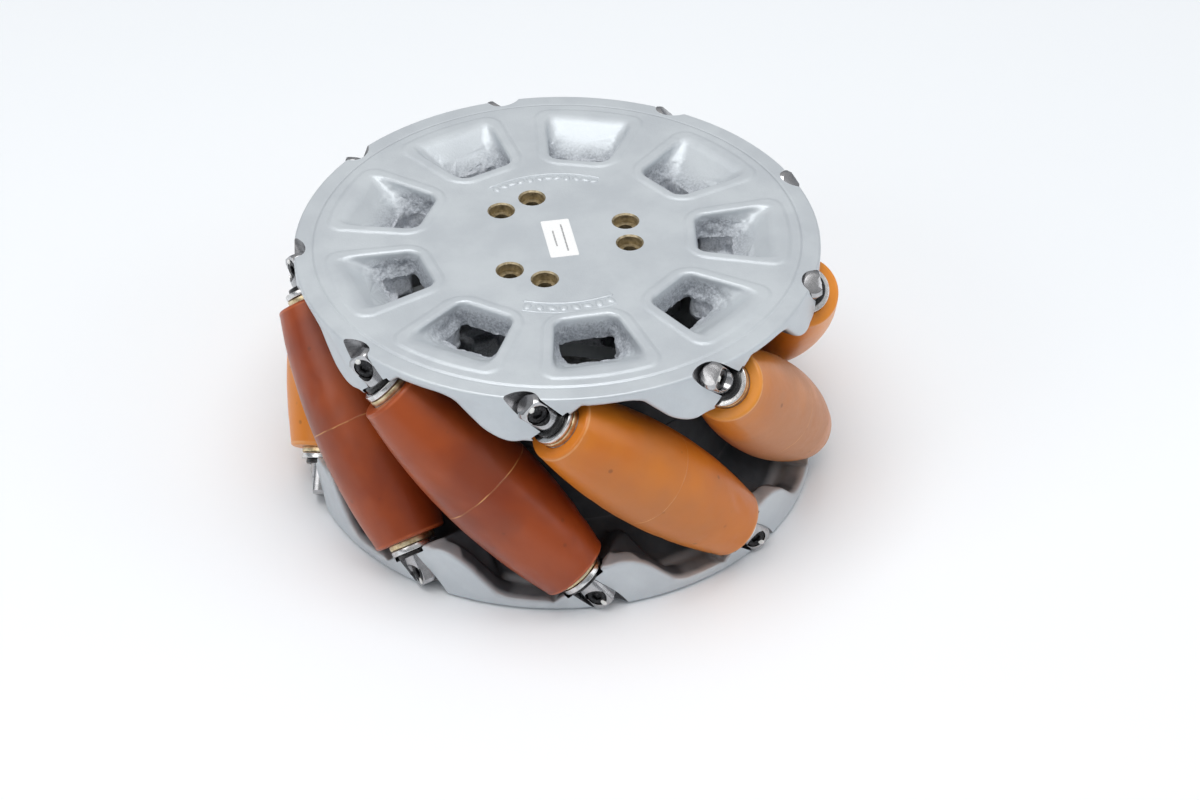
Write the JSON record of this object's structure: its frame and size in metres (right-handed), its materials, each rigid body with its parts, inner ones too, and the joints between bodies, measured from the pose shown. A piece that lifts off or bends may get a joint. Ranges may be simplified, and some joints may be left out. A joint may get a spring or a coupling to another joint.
{
  "type": "mecanum wheel",
  "caption": "Mecanum wheel: two cast rims with scalloped lobes hold tilted barrel rollers on clamped axles, and a hub plate bolts to a drive flange.",
  "frame": {"origin": "centre of the wheel, on the spin axis midway between the two rim faces", "axes": "+Z along the wheel's spin axis, out of the closed hub face; +X through the middle of one pair of hub bolt holes. The wheel lies on its open back, as it stands on a bench, so its axis is upright."},
  "size_m": [0.2502, 0.2503, 0.1188],
  "materials": {
    "casting": "satin silver-grey paint on a fine cast skin",
    "steel": "turned and milled steel",
    "black_steel": "black oxide",
    "bronze": "turned bronze",
    "core": "turned",
    "seal": "moulded rubber",
    "tread": "worn translucent polyurethane, orange",
    "tread_old": "aged polyurethane, dark red-brown",
    "label": "blank white sticker"
  },
  "bodies": {
    "wheel": {"outer_rim": "casting", "inner_rim": "casting", "hub_label": "label", "rim_screws": "black_steel", "rim_dowels": "steel", "axle_1": "steel", "axle_2": "steel", "axle_3": "steel", "axle_4": "steel", "axle_5": "steel", "axle_6": "steel", "axle_7": "steel", "axle_8": "steel", "axle_9": "steel", "axle_screws": "black_steel", "thrust_washers": "steel", "shaft_seals": "seal"},
    "roller_1": {"roller_1_tread": "tread", "roller_1_core": "core", "roller_1_bushes": "bronze"},
    "roller_2": {"roller_2_tread": "tread", "roller_2_core": "core", "roller_2_bushes": "bronze"},
    "roller_3": {"roller_3_tread": "tread", "roller_3_core": "core", "roller_3_bushes": "bronze"},
    "roller_4": {"roller_4_tread": "tread", "roller_4_core": "core", "roller_4_bushes": "bronze"},
    "roller_5": {"roller_5_tread": "tread", "roller_5_core": "core", "roller_5_bushes": "bronze"},
    "roller_6": {"roller_6_tread": "tread_old", "roller_6_core": "core", "roller_6_bushes": "bronze"},
    "roller_7": {"roller_7_tread": "tread_old", "roller_7_core": "core", "roller_7_bushes": "bronze"},
    "roller_8": {"roller_8_tread": "tread", "roller_8_core": "core", "roller_8_bushes": "bronze"},
    "roller_9": {"roller_9_tread": "tread", "roller_9_core": "core", "roller_9_bushes": "bronze"}
  },
  "joints": [
    {"name": "roller_1_spin", "type": "hinge", "parent": "wheel", "child": "roller_1", "pos_m": [0.10188, 0.01125, 0], "axis": [0.0776, -0.7028, 0.7071], "continuous": true},
    {"name": "roller_2_spin", "type": "hinge", "parent": "wheel", "child": "roller_2", "pos_m": [0.07082, 0.0741, 0], "axis": [0.5112, -0.4885, 0.7071], "continuous": true},
    {"name": "roller_3_spin", "type": "hinge", "parent": "wheel", "child": "roller_3", "pos_m": [0.00661, 0.10229, 0], "axis": [0.7056, -0.0456, 0.7071], "continuous": true},
    {"name": "roller_4_spin", "type": "hinge", "parent": "wheel", "child": "roller_4", "pos_m": [-0.06068, 0.08261, 0], "axis": [0.5699, 0.4186, 0.7071], "continuous": true},
    {"name": "roller_5_spin", "type": "hinge", "parent": "wheel", "child": "roller_5", "pos_m": [-0.09958, 0.02428, 0], "axis": [0.1675, 0.687, 0.7071], "continuous": true},
    {"name": "roller_6_spin", "type": "hinge", "parent": "wheel", "child": "roller_6", "pos_m": [-0.09189, -0.04541, 0], "axis": [-0.3133, 0.6339, 0.7071], "continuous": true},
    {"name": "roller_7_spin", "type": "hinge", "parent": "wheel", "child": "roller_7", "pos_m": [-0.0412, -0.09386, 0], "axis": [-0.6475, 0.2842, 0.7071], "continuous": true},
    {"name": "roller_8_spin", "type": "hinge", "parent": "wheel", "child": "roller_8", "pos_m": [0.02877, -0.09838, 0], "axis": [-0.6787, -0.1985, 0.7071], "continuous": true},
    {"name": "roller_9_spin", "type": "hinge", "parent": "wheel", "child": "roller_9", "pos_m": [0.08528, -0.05687, 0], "axis": [-0.3923, -0.5883, 0.7071], "continuous": true}
  ]
}
